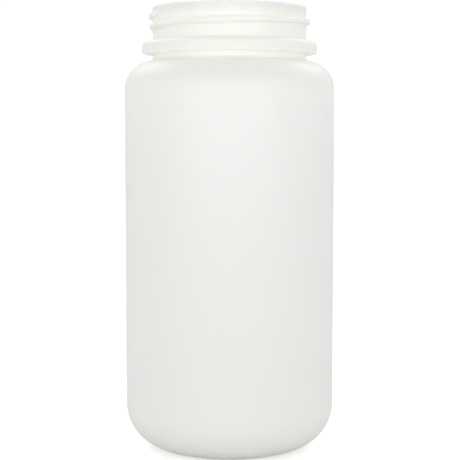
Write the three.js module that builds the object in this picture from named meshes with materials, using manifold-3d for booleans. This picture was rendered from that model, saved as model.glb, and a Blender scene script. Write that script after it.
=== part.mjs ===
// Wide-mouth reagent bottle, one litre, blow moulded in one piece in natural polyethylene.
// Millimetres, +Z up, origin on the axis at the plane that the foot stands on.
import * as THREE from 'three';
import { mergeVertices } from 'three/addons/utils/BufferGeometryUtils.js';
import Module from 'manifold-3d';

const wasm = await Module();
wasm.setup();

// Driving dimensions.
const HEIGHT = 191.7; // foot to rim
const BODY_RADIUS = 45.5;
const WALL = 1.5;

const HEEL_RADIUS = 19.0; // round from the foot to the side wall
const SHOULDER_RADIUS = 12.1;
const SHOULDER_TOP = 168.5;

const NECK_RADIUS = 33.3;
const BORE_RADIUS = 31.2;
const LIP_ROUND = 0.6; // at both edges of the rim

const BEAD_RADIUS = 38.0; // support bead under the thread
const BEAD_BOTTOM = 171.5;
const BEAD_TOP = 176.9;
const BEAD_LOWER_ROUND = 1.2;
const BEAD_UPPER_ROUND = 2.2;

const FOOT_INNER_RADIUS = 24.0; // the flat foot ring runs from here to the heel
const PUSH_UP = 3.0; // height of the hollow under the base
const PUSH_UP_RADIUS = 19.0;

const THREAD_RADIUS = 34.9; // over the crest
const THREAD_PITCH = 5.08;
const THREAD_START = 182.6; // height of its middle where it starts
const THREAD_START_ANGLE = 174; // degrees from +X, seen from above
const THREAD_TURNS = 1.1;
const THREAD_ROOT_WIDTH = 3.2;
const THREAD_CREST_WIDTH = 1.4;
const THREAD_RUN_OUT = 0.05; // share of its length over which each end sinks into the neck
const THREAD_BITE = 0.15; // how far its root reaches into the neck
const THREAD_END_DEPTH = 0.1; // how far its crest lies under the neck's surface at its ends

const AROUND = 60; // facets in a full turn
const THREAD_STEPS = Math.round(AROUND * THREAD_TURNS);

// Points of a round stretch of the outline about (r, z), from one angle in degrees to another.
function arc(r, z, radius, from, to, steps) {
  return Array.from({ length: steps + 1 }, (_, i) => {
    const angle = THREE.MathUtils.degToRad(THREE.MathUtils.lerp(from, to, i / steps));
    return new THREE.Vector2(r + radius * Math.cos(angle), z + radius * Math.sin(angle));
  });
}

const point = (r, z) => new THREE.Vector2(r, z);

// Outside of the wall, from the middle of the base up to the rim.
function outerOutline() {
  const heelCentre = BODY_RADIUS - HEEL_RADIUS;
  const shoulderCentre = BODY_RADIUS - SHOULDER_RADIUS;
  const beadLower = BEAD_RADIUS - BEAD_LOWER_ROUND;
  const beadUpper = BEAD_RADIUS - BEAD_UPPER_ROUND;
  return [
    point(0, PUSH_UP),
    point(PUSH_UP_RADIUS, PUSH_UP),
    point(FOOT_INNER_RADIUS, 0),
    ...arc(heelCentre, HEEL_RADIUS, HEEL_RADIUS, -90, 0, 8),
    ...arc(shoulderCentre, SHOULDER_TOP - SHOULDER_RADIUS, SHOULDER_RADIUS, 0, 90, 6),
    point(NECK_RADIUS, BEAD_BOTTOM),
    ...arc(beadLower, BEAD_BOTTOM + BEAD_LOWER_ROUND, BEAD_LOWER_ROUND, -90, 0, 3),
    ...arc(beadUpper, BEAD_TOP - BEAD_UPPER_ROUND, BEAD_UPPER_ROUND, 0, 90, 3),
    point(NECK_RADIUS, BEAD_TOP),
    ...arc(NECK_RADIUS - LIP_ROUND, HEIGHT - LIP_ROUND, LIP_ROUND, 0, 90, 2),
  ];
}

// Inside of the wall, from the rim down to the middle of the base.
function innerOutline() {
  const shoulderCentre = BODY_RADIUS - SHOULDER_RADIUS;
  const innerShoulder = SHOULDER_RADIUS - WALL;
  const throatRound = shoulderCentre - BORE_RADIUS;
  return [
    ...arc(BORE_RADIUS + LIP_ROUND, HEIGHT - LIP_ROUND, LIP_ROUND, 90, 180, 2),
    ...arc(shoulderCentre, SHOULDER_TOP - WALL + throatRound, throatRound, 180, 270, 3),
    ...arc(shoulderCentre, SHOULDER_TOP - SHOULDER_RADIUS, innerShoulder, 90, 0, 6).slice(1),
    ...arc(BODY_RADIUS - HEEL_RADIUS, HEEL_RADIUS, HEEL_RADIUS - WALL, 0, -90, 8),
    point(FOOT_INNER_RADIUS, WALL),
    point(PUSH_UP_RADIUS, PUSH_UP + WALL),
    point(0, PUSH_UP + WALL),
  ];
}

// The wall from base to rim as one turned shell, open at the mouth.
function shellGeometry() {
  const outline = [...outerOutline(), ...innerOutline()];
  return new THREE.LatheGeometry(outline, AROUND).rotateX(Math.PI / 2);
}

// Right-hand helix on which the thread's middle lies. Its frame keeps the section radial.
class ThreadHelix extends THREE.Curve {
  angleAt(t) {
    return THREE.MathUtils.degToRad(THREAD_START_ANGLE + 360 * THREAD_TURNS * t);
  }

  // 0 along the full thread, 1 at either end.
  sinkAt(t) {
    return 1 - Math.min(1, t / THREAD_RUN_OUT, (1 - t) / THREAD_RUN_OUT);
  }

  getPoint(t, target = new THREE.Vector3()) {
    const angle = this.angleAt(t);
    const depth = THREAD_RADIUS - NECK_RADIUS + THREAD_END_DEPTH;
    const radius = NECK_RADIUS - depth * this.sinkAt(t);
    const z = THREAD_START + THREAD_PITCH * THREAD_TURNS * t;
    return target.set(radius * Math.cos(angle), radius * Math.sin(angle), z);
  }

  // Equal turns rather than equal lengths, so that each step ends on a facet's edge of the neck.
  getSpacedPoints(divisions) {
    return this.getPoints(divisions);
  }

  computeFrenetFrames(segments) {
    const angles = Array.from({ length: segments + 1 }, (_, i) => this.angleAt(i / segments));
    return {
      tangents: angles.map((a) => new THREE.Vector3(-Math.sin(a), Math.cos(a), 0)),
      normals: angles.map((a) => new THREE.Vector3(Math.cos(a), Math.sin(a), 0)),
      binormals: angles.map(() => new THREE.Vector3(0, 0, -1)),
    };
  }
}

function threadGeometry() {
  const height = THREAD_RADIUS - NECK_RADIUS;
  const section = new THREE.Shape([
    point(-THREAD_BITE, -THREAD_ROOT_WIDTH / 2),
    point(height, -THREAD_CREST_WIDTH / 2),
    point(height, THREAD_CREST_WIDTH / 2),
    point(-THREAD_BITE, THREAD_ROOT_WIDTH / 2),
  ]);
  return new THREE.ExtrudeGeometry(section, {
    steps: THREAD_STEPS,
    extrudePath: new ThreadHelix(),
    bevelEnabled: false,
  });
}

function toSolid(geometry) {
  geometry.deleteAttribute('normal');
  geometry.deleteAttribute('uv');
  const merged = mergeVertices(geometry, 1e-3);
  return new wasm.Manifold(
    new wasm.Mesh({
      numProp: 3,
      vertProperties: merged.attributes.position.array,
      triVerts: new Uint32Array(merged.index.array),
    }),
  );
}

function toGeometry(solid) {
  const mesh = solid.getMesh();
  const geometry = new THREE.BufferGeometry();
  geometry.setAttribute('position', new THREE.BufferAttribute(mesh.vertProperties, 3));
  geometry.setIndex(new THREE.BufferAttribute(mesh.triVerts, 1));
  geometry.computeVertexNormals();
  return geometry;
}

// One moulding: base, side wall, shoulder, neck, support bead and thread share one wall.
function bottleBody() {
  const solid = toSolid(shellGeometry()).add(toSolid(threadGeometry()));
  const material = new THREE.MeshStandardMaterial({
    color: 0xeceee8,
    roughness: 0.42,
    metalness: 0,
  });
  const mesh = new THREE.Mesh(toGeometry(solid), material);
  mesh.name = 'bottle_body';
  return mesh;
}

const bottle = new THREE.Group();
bottle.name = 'wide_mouth_bottle';
bottle.add(bottleBody());

export default bottle;
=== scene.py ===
"""Wide-mouth laboratory bottle in natural polyethylene, standing open on a pale floor."""

import math

import bmesh
import bpy
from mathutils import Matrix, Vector


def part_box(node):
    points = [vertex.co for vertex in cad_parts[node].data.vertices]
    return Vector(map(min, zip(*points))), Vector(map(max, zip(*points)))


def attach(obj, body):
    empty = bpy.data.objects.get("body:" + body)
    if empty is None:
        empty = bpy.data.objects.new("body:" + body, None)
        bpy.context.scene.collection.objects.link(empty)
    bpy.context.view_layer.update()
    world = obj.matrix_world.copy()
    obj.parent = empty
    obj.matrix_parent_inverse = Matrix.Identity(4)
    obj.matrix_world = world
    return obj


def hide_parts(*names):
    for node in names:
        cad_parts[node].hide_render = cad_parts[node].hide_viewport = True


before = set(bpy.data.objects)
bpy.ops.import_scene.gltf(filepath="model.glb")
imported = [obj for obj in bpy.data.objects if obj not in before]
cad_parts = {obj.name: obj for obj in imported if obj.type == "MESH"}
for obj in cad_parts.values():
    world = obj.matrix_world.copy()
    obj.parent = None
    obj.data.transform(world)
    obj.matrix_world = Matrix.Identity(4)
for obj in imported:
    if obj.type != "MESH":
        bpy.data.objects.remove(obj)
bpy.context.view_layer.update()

# ---- Sizes, in metres. The overall ones come from the frame. ----
MM = 0.001
LOW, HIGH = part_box("bottle_body")
BODY_RADIUS = (HIGH.x - LOW.x) / 2
HEIGHT = HIGH.z - LOW.z
WALL = 1.5 * MM

HEEL_RADIUS = 19.0 * MM
FOOT_INNER = 24.0 * MM  # the foot ring is flat from here to the heel
PUSH_UP = 3.0 * MM
PUSH_UP_RADIUS = 18.5 * MM
PINCH_LENGTH = 44.0 * MM  # weld line across the base, where the mould closed on the tube
PINCH_WIDTH = 1.0 * MM
PINCH_HEIGHT = 0.45 * MM

SHOULDER_RADIUS = 12.1 * MM
SHOULDER_TOP = HEIGHT - 23.2 * MM
NECK_RADIUS = 33.3 * MM
BORE_RADIUS = 31.2 * MM
NECK_FILLET = 1.3 * MM
LIP_ROUND = 0.6 * MM

BEAD_RADIUS = 38.0 * MM
BEAD_BOTTOM = HEIGHT - 20.2 * MM
BEAD_TOP = HEIGHT - 14.8 * MM
BEAD_LOWER_ROUND = 1.2 * MM
BEAD_UPPER_ROUND = 2.2 * MM
BEAD_FILLET = 0.5 * MM

THREAD_HEIGHT = 1.6 * MM
THREAD_PITCH = 5.08 * MM
THREAD_START = HEIGHT - 9.1 * MM
THREAD_START_ANGLE = math.radians(174)
THREAD_SWEEP = math.radians(396)
THREAD_RUN_OUT = math.radians(18)
THREAD_ROOT = 3.2 * MM
THREAD_CREST = 1.4 * MM
THREAD_HOLLOW = 0.22  # share of the thread's height by which the bore follows it

# Painted shade, from 0 in the thin side wall up to 1 at the rim: the rim, thread, neck and bead are
# darkened in place of the lesser light that passes through thick plastic, and a band on the shoulder
# in place of the shade under the bead and neck.
RIM_BAND = 9.0 * MM
RIM_SHADE = 1.0
THREAD_SHADE = 0.65
NECK_SHADE = 0.38
BEAD_SHADE = 0.65
SHOULDER_SHADE = 0.55
SHOULDER_BAND = 18.0 * MM  # from the shoulder's top down to where the painted shade on the shoulder ends
SHOULDER_FADE = 12.0 * MM
SHOULDER_ROOT = 4.0 * MM  # height of the strip around the neck's root, over which the shoulder's painted shade fades in

SEAM_HEIGHT = 0.09 * MM  # the mould's parting line, in the XZ plane
SEAM_WIDTH = 0.45 * MM
UNEVEN = 0.07 * MM  # how far the blown wall strays from round

AROUND = 224  # columns in a full turn
BASE_STEPS = 12
THREAD_ROW = 0.2 * MM  # height of a row on the neck

# ---- Plastic. Colours are linear. ----
THIN_COLOUR = (0.975, 0.98, 0.902, 1)
THIN_COLOUR_CLEARER = (0.988, 0.992, 0.92, 1)
# Painted shade: the grey towards which the rim, thread, neck, bead and shoulder band are darkened.
PAINTED_SHADE_COLOUR = (0.73, 0.735, 0.725, 1)
CLOUD_SCALE = 35
SATIN_RANGE = (0.46, 0.58)
SKIN_WEIGHT = 0.4  # the smoother skin that the mould leaves, over the satin
SKIN_ROUGHNESS = 0.25
GRAIN_SCALE = 2600
GRAIN_HEIGHT = 0.02 * MM
SCATTER_RADIUS = (1.0, 1.0, 0.92)
SCATTER_SCALE = 4.0 * MM

# ---- Light. Places and sizes in metres, powers in watts. ----
SOFTBOXES = {
    "front_softbox": {"place": (0, -1.2, 0.32), "size": (2.6, 0.45), "power": 8.6},
    "left_back_softbox": {"place": (-0.66, 0.7, 0.85), "size": (0.5, 0.5), "power": 1.5},
    "right_back_softbox": {"place": (0.66, 0.7, 0.85), "size": (0.5, 0.5), "power": 1.5},
}
ROOM_LIGHT = 0.9
ROOM_LIGHT_FRONT = 0.4
FLOOR_GLOW = 0.45
FLOOR_ALBEDO = 0.75
FLOOR_SIDE = 60
BACKDROP_LIGHT = 1.05
LIGHT_BOUNCES = 24

# ---- Camera: a little above the middle of the bottle, looking slightly down. ----
CAMERA_BACK = 12.27 * BODY_RADIUS
CAMERA_UP = 3.074 * BODY_RADIUS
CAMERA_TILT = math.radians(4.6)
CAMERA_LENS = 99.74
CAMERA_SHIFT = 0.0011


# ---- Outline of the wall ----
def arc(r, z, radius, start, end, steps):
    """Points of a round stretch about (r, z), between two angles in degrees."""
    angles = [math.radians(start + (end - start) * i / steps) for i in range(steps + 1)]
    return [(r + radius * math.cos(a), z + radius * math.sin(a)) for a in angles]


def line(start, end, steps):
    """Points from start up to, but not with, end."""
    return [
        (start[0] + (end[0] - start[0]) * i / steps, start[1] + (end[1] - start[1]) * i / steps)
        for i in range(steps)
    ]


def smooth(t):
    t = min(1.0, max(0.0, t))
    return t * t * (3 - 2 * t)


def base_curve(lift):
    """The raised middle of the base and its slope down to the foot ring, lift above the outside."""
    flat = line((0.0, PUSH_UP + lift), (PUSH_UP_RADIUS, PUSH_UP + lift), BASE_STEPS)
    slope = []
    for i in range(BASE_STEPS + 1):
        t = i / BASE_STEPS
        r = PUSH_UP_RADIUS + (FOOT_INNER - PUSH_UP_RADIUS) * t
        slope.append((r, PUSH_UP * (1 - smooth(t)) + lift))
    return flat + slope


def outer_outline():
    """From the middle of the base up to the rim."""
    heel_centre = BODY_RADIUS - HEEL_RADIUS
    shoulder_centre = BODY_RADIUS - SHOULDER_RADIUS
    shoulder_start = SHOULDER_TOP - SHOULDER_RADIUS
    points = base_curve(0.0)
    points += arc(heel_centre, HEEL_RADIUS, HEEL_RADIUS, -90, 0, 24)
    points += line((BODY_RADIUS, HEEL_RADIUS), (BODY_RADIUS, shoulder_start), 48)[1:]
    points += arc(shoulder_centre, shoulder_start, SHOULDER_RADIUS, 0, 84, 20)
    points += arc(NECK_RADIUS + NECK_FILLET, SHOULDER_TOP + NECK_FILLET, NECK_FILLET, 262, 180, 6)
    points += bead_outline()
    points += neck_outline()
    return points


def bead_outline():
    """The support bead: flat underneath, rounded above, with small fillets at the neck."""
    lower = BEAD_RADIUS - BEAD_LOWER_ROUND
    upper = BEAD_RADIUS - BEAD_UPPER_ROUND
    root = NECK_RADIUS + BEAD_FILLET
    points = arc(root, BEAD_BOTTOM - BEAD_FILLET, BEAD_FILLET, 180, 90, 4)
    points += arc(lower, BEAD_BOTTOM + BEAD_LOWER_ROUND, BEAD_LOWER_ROUND, -90, 0, 6)
    points += arc(upper, BEAD_TOP - BEAD_UPPER_ROUND, BEAD_UPPER_ROUND, 0, 90, 8)
    points += arc(root, BEAD_TOP + BEAD_FILLET, BEAD_FILLET, 270, 180, 4)
    return points


def neck_outline():
    """From the bead up to the rim, in rows close enough to carry the thread."""
    bottom = BEAD_TOP + BEAD_FILLET
    top = HEIGHT - LIP_ROUND
    rows = round((top - bottom) / THREAD_ROW)
    points = line((NECK_RADIUS, bottom), (NECK_RADIUS, top), rows)[1:]
    return points + arc(NECK_RADIUS - LIP_ROUND, top, LIP_ROUND, 0, 90, 5)


def inner_outline():
    """From the rim down to the middle of the base."""
    shoulder_centre = BODY_RADIUS - SHOULDER_RADIUS
    shoulder_start = SHOULDER_TOP - SHOULDER_RADIUS
    throat = shoulder_centre - BORE_RADIUS
    throat_centre = SHOULDER_TOP - WALL + throat
    points = arc(BORE_RADIUS + LIP_ROUND, HEIGHT - LIP_ROUND, LIP_ROUND, 90, 180, 5)
    points += line(points[-1], (BORE_RADIUS, throat_centre), 48)[1:]
    points += arc(shoulder_centre, throat_centre, throat, 180, 270, 8)
    points += arc(shoulder_centre, shoulder_start, SHOULDER_RADIUS - WALL, 90, 0, 16)[1:]
    points += line(points[-1], (BODY_RADIUS - WALL, HEEL_RADIUS), 48)[1:]
    points += arc(BODY_RADIUS - HEEL_RADIUS, HEEL_RADIUS, HEEL_RADIUS - WALL, 0, -90, 20)
    return points + base_curve(WALL)[::-1]


# ---- Relief ----
def thread_relief(angle, z):
    """Height of the right-hand thread over the neck at an angle and a height."""
    relief = 0.0
    for turn in range(3):
        along = (angle - THREAD_START_ANGLE) % math.tau + math.tau * turn
        if along > THREAD_SWEEP:
            continue
        from_end = min(along, THREAD_SWEEP - along)
        middle = THREAD_START + THREAD_PITCH * along / math.tau
        flank = (THREAD_ROOT / 2 - abs(z - middle)) / (THREAD_ROOT / 2 - THREAD_CREST / 2)
        relief = max(relief, THREAD_HEIGHT * smooth(flank) * smooth(from_end / THREAD_RUN_OUT))
    return relief


def seam_relief(angle, r):
    """Height of the parting line, which crosses the outline at angles 0 and 180 degrees."""
    across = abs(math.sin(angle)) * r
    return SEAM_HEIGHT * smooth(1 - across / (SEAM_WIDTH / 2))


def uneven_relief(angle, z):
    """The blown wall's slow waver, fading out towards the foot and the shoulder."""
    fade = smooth((z - HEEL_RADIUS) / HEEL_RADIUS) * smooth((SHOULDER_TOP - z) / SHOULDER_RADIUS - 1)
    turn = angle + 3 * z / HEIGHT
    wave = 0.5 * math.sin(2 * turn) + 0.3 * math.sin(3 * angle - 9 * z / HEIGHT)
    return UNEVEN * fade * (wave + 0.2 * math.sin(14 * z / HEIGHT + angle))


def pinch_relief(x, y):
    """Depth of the weld line under the base, along X, with a tapered end at both sides."""
    across = smooth(1 - abs(y) / (PINCH_WIDTH / 2))
    return PINCH_HEIGHT * across * smooth((PINCH_LENGTH / 2 - abs(x)) / (4 * PINCH_WIDTH))


def column_angles():
    """Even columns, with closer ones beside the parting line."""
    step = math.tau / AROUND
    even = [i * step for i in range(AROUND)]
    near = [SEAM_WIDTH / 2 / BODY_RADIUS * share for share in (0.4, 0.7, 1.0, 1.6, 2.8)]
    beside = [side + sign * a for side in (0, math.pi) for a in near for sign in (-1, 1)]
    return sorted((a % math.tau) for a in even + beside)


def outer_point(r, z, angle):
    """A point of the outside, with whatever stands out from the plain outline there."""
    if r < FOOT_INNER:
        x, y = r * math.cos(angle), r * math.sin(angle)
        return x, y, z - pinch_relief(x, y)
    bulge = seam_relief(angle, r)
    if r == BODY_RADIUS:
        bulge += uneven_relief(angle, z)
    elif r == NECK_RADIUS and z > BEAD_TOP:
        bulge += thread_relief(angle, z)
    return (r + bulge) * math.cos(angle), (r + bulge) * math.sin(angle), z


def inner_point(r, z, angle):
    """A point of the inside, which follows the thread a little where the neck was blown out."""
    bulge = THREAD_HOLLOW * thread_relief(angle, z) if r == BORE_RADIUS else 0.0
    return (r + bulge) * math.cos(angle), (r + bulge) * math.sin(angle), z


def painted_shade_amount(r, z):
    """Amount of painted shade, from 0 in the thin side wall up to 1: darker rim, thread, neck and
    bead for lesser light through thick plastic, and a shoulder band for the shade under the bead and
    neck.
    """
    if z > BEAD_TOP:
        thread = smooth((r - NECK_RADIUS) / THREAD_HEIGHT)
        rim = smooth((z - HEIGHT + RIM_BAND) / RIM_BAND)
        return max(NECK_SHADE, THREAD_SHADE * thread, RIM_SHADE * rim)
    if z > BEAD_BOTTOM:
        outward = smooth((r - NECK_RADIUS) / BEAD_LOWER_ROUND)
        return BEAD_SHADE * outward * smooth((z - BEAD_BOTTOM) / BEAD_LOWER_ROUND)
    below = max(0.0, SHOULDER_TOP - z)
    fade = smooth((SHOULDER_BAND - below) / SHOULDER_FADE)
    return SHOULDER_SHADE * fade * smooth(below / SHOULDER_ROOT)


def build_bottle():
    """The wall as one closed mesh, turned round the axis from the base to the rim and back inside."""
    angles = column_angles()
    shape = bmesh.new()
    rings = []
    for outline, place in ((outer_outline(), outer_point), (inner_outline(), inner_point)):
        for r, z in outline:
            ring_angles = angles if r else [0.0]
            rings.append([shape.verts.new(place(r, z, angle)) for angle in ring_angles])
    for lower, upper in zip(rings, rings[1:]):
        join_rings(shape, lower, upper, len(angles))
    bmesh.ops.recalc_face_normals(shape, faces=shape.faces)
    mesh = bpy.data.meshes.new("bottle_wall")
    shape.to_mesh(mesh)
    shape.free()
    mesh.shade_smooth()
    # Painted shade per point, kept as an attribute for the material.
    shade_mask = mesh.attributes.new("painted_shade", "FLOAT", "POINT")
    for vertex, value in zip(mesh.vertices, shade_mask.data):
        value.value = painted_shade_amount(vertex.co.xy.length, vertex.co.z)
    bottle = bpy.data.objects.new("bottle_wall", mesh)
    bpy.context.scene.collection.objects.link(bottle)
    return bottle


def join_rings(shape, lower, upper, count):
    """Faces between two rings, either of which may be a single point on the axis."""
    for i in range(count):
        j = (i + 1) % count
        if len(lower) == 1:
            shape.faces.new((lower[0], upper[j], upper[i]))
        elif len(upper) == 1:
            shape.faces.new((lower[i], lower[j], upper[0]))
        else:
            shape.faces.new((lower[i], lower[j], upper[j], upper[i]))


# ---- Materials ----
def new_material(name):
    material = bpy.data.materials.new(name)
    material.use_nodes = True
    nodes = material.node_tree.nodes
    return material, nodes, material.node_tree.links, nodes["Principled BSDF"]


def natural_polyethylene():
    """Milky, unpigmented plastic: light passes into the wall and scatters. Satin surface."""
    material, nodes, links, shader = new_material("milky_polyethylene")
    coordinates = nodes.new("ShaderNodeTexCoord")
    clouds = nodes.new("ShaderNodeTexNoise")
    clouds.inputs["Scale"].default_value = CLOUD_SCALE
    clouds.inputs["Detail"].default_value = 3
    thin = nodes.new("ShaderNodeMix")
    thin.data_type = "RGBA"
    thin.inputs["A"].default_value = THIN_COLOUR
    thin.inputs["B"].default_value = THIN_COLOUR_CLEARER
    links.new(coordinates.outputs["Object"], clouds.inputs["Vector"])
    links.new(clouds.outputs["Fac"], thin.inputs["Factor"])

    # Painted shade: the point attribute mixes the plastic's colour towards the grey painted-shade
    # colour.
    shade_mask = nodes.new("ShaderNodeAttribute")
    shade_mask.attribute_name = "painted_shade"
    shade_tint = nodes.new("ShaderNodeMix")
    shade_tint.data_type = "RGBA"
    shade_tint.inputs["B"].default_value = PAINTED_SHADE_COLOUR
    links.new(shade_mask.outputs["Fac"], shade_tint.inputs["Factor"])
    links.new(thin.outputs["Result"], shade_tint.inputs["A"])
    links.new(shade_tint.outputs["Result"], shader.inputs["Base Color"])

    satin = nodes.new("ShaderNodeMapRange")
    satin.inputs["To Min"].default_value, satin.inputs["To Max"].default_value = SATIN_RANGE
    links.new(clouds.outputs["Fac"], satin.inputs["Value"])
    links.new(satin.outputs["Result"], shader.inputs["Roughness"])

    grain = nodes.new("ShaderNodeTexNoise")
    grain.inputs["Scale"].default_value = GRAIN_SCALE
    grain.inputs["Detail"].default_value = 2
    bump = nodes.new("ShaderNodeBump")
    bump.inputs["Strength"].default_value = 0.25
    bump.inputs["Distance"].default_value = GRAIN_HEIGHT
    links.new(coordinates.outputs["Object"], grain.inputs["Vector"])
    links.new(grain.outputs["Fac"], bump.inputs["Height"])
    links.new(bump.outputs["Normal"], shader.inputs["Normal"])

    shader.inputs["Subsurface Weight"].default_value = 1.0
    shader.inputs["Subsurface Radius"].default_value = SCATTER_RADIUS
    shader.inputs["Subsurface Scale"].default_value = SCATTER_SCALE
    shader.inputs["IOR"].default_value = 1.5
    shader.inputs["Coat Weight"].default_value = SKIN_WEIGHT
    shader.inputs["Coat Roughness"].default_value = SKIN_ROUGHNESS
    return material


def floor_material():
    """Pale and matt. It glows to the camera only, so that it meets the white room without a line."""
    material, nodes, links, shader = new_material("pale_floor")
    shader.inputs["Base Color"].default_value = (FLOOR_ALBEDO, FLOOR_ALBEDO, FLOOR_ALBEDO, 1)
    shader.inputs["Roughness"].default_value = 0.9
    shader.inputs["Specular IOR Level"].default_value = 0.1
    shader.inputs["Emission Color"].default_value = (1, 1, 1, 1)
    path = nodes.new("ShaderNodeLightPath")
    glow = nodes.new("ShaderNodeMath")
    glow.operation = "MULTIPLY"
    glow.inputs[1].default_value = FLOOR_GLOW
    links.new(path.outputs["Is Camera Ray"], glow.inputs[0])
    links.new(glow.outputs["Value"], shader.inputs["Emission Strength"])
    return material


# ---- Stage ----
def add_camera():
    data = bpy.data.cameras.new("camera")
    data.sensor_width = 36
    data.lens = CAMERA_LENS
    data.shift_x = CAMERA_SHIFT
    camera = bpy.data.objects.new("camera", data)
    camera.location = (0, -CAMERA_BACK, CAMERA_UP)
    camera.rotation_euler = (math.pi / 2 - CAMERA_TILT, 0, 0)
    bpy.context.scene.collection.objects.link(camera)
    bpy.context.scene.camera = camera


def add_floor():
    bpy.ops.mesh.primitive_plane_add(size=FLOOR_SIDE)
    floor = bpy.context.object
    floor.name = "floor"
    floor.data.materials.append(floor_material())


def add_softbox(name, place, size, power):
    """A rectangular light aimed at the middle of the bottle."""
    data = bpy.data.lights.new(name, "AREA")
    data.shape = "RECTANGLE"
    data.size, data.size_y = size
    data.energy = power
    light = bpy.data.objects.new(name, data)
    light.location = place
    aim = Vector((0, 0, HEIGHT / 2)) - light.location
    light.rotation_euler = aim.to_track_quat("-Z", "Y").to_euler()
    bpy.context.scene.collection.objects.link(light)


def set_world():
    """White to the camera. For the light, an even white room that is dimmer on the -Y side."""
    world = bpy.data.worlds.new("white_room")
    world.use_nodes = True
    nodes, links = world.node_tree.nodes, world.node_tree.links
    direction = nodes.new("ShaderNodeTexCoord")
    axes = nodes.new("ShaderNodeSeparateXYZ")
    dim_side = nodes.new("ShaderNodeMapRange")
    dim_side.interpolation_type = "SMOOTHSTEP"
    dim_side.inputs["From Min"].default_value = 0.0
    dim_side.inputs["From Max"].default_value = -1.0
    dim_side.inputs["To Min"].default_value = ROOM_LIGHT
    dim_side.inputs["To Max"].default_value = ROOM_LIGHT_FRONT
    links.new(direction.outputs["Generated"], axes.inputs["Vector"])
    links.new(axes.outputs["Y"], dim_side.inputs["Value"])
    room = nodes["Background"]
    room.inputs["Color"].default_value = (1, 1, 1, 1)
    links.new(dim_side.outputs["Result"], room.inputs["Strength"])

    backdrop = nodes.new("ShaderNodeBackground")
    backdrop.inputs["Color"].default_value = (1, 1, 1, 1)
    backdrop.inputs["Strength"].default_value = BACKDROP_LIGHT
    path = nodes.new("ShaderNodeLightPath")
    mix = nodes.new("ShaderNodeMixShader")
    links.new(path.outputs["Is Camera Ray"], mix.inputs["Fac"])
    links.new(room.outputs["Background"], mix.inputs[1])
    links.new(backdrop.outputs["Background"], mix.inputs[2])
    links.new(mix.outputs["Shader"], nodes["World Output"].inputs["Surface"])
    scene = bpy.context.scene
    scene.world = world
    scene.view_settings.view_transform = "Standard"
    scene.cycles.max_bounces = LIGHT_BOUNCES
    scene.cycles.diffuse_bounces = LIGHT_BOUNCES  # light crosses many walls of the milky plastic


add_camera()
bottle = build_bottle()
bottle.data.materials.append(natural_polyethylene())
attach(bottle, "root")
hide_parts("bottle_body")
add_floor()
for name, softbox in SOFTBOXES.items():
    add_softbox(name, **softbox)
set_world()
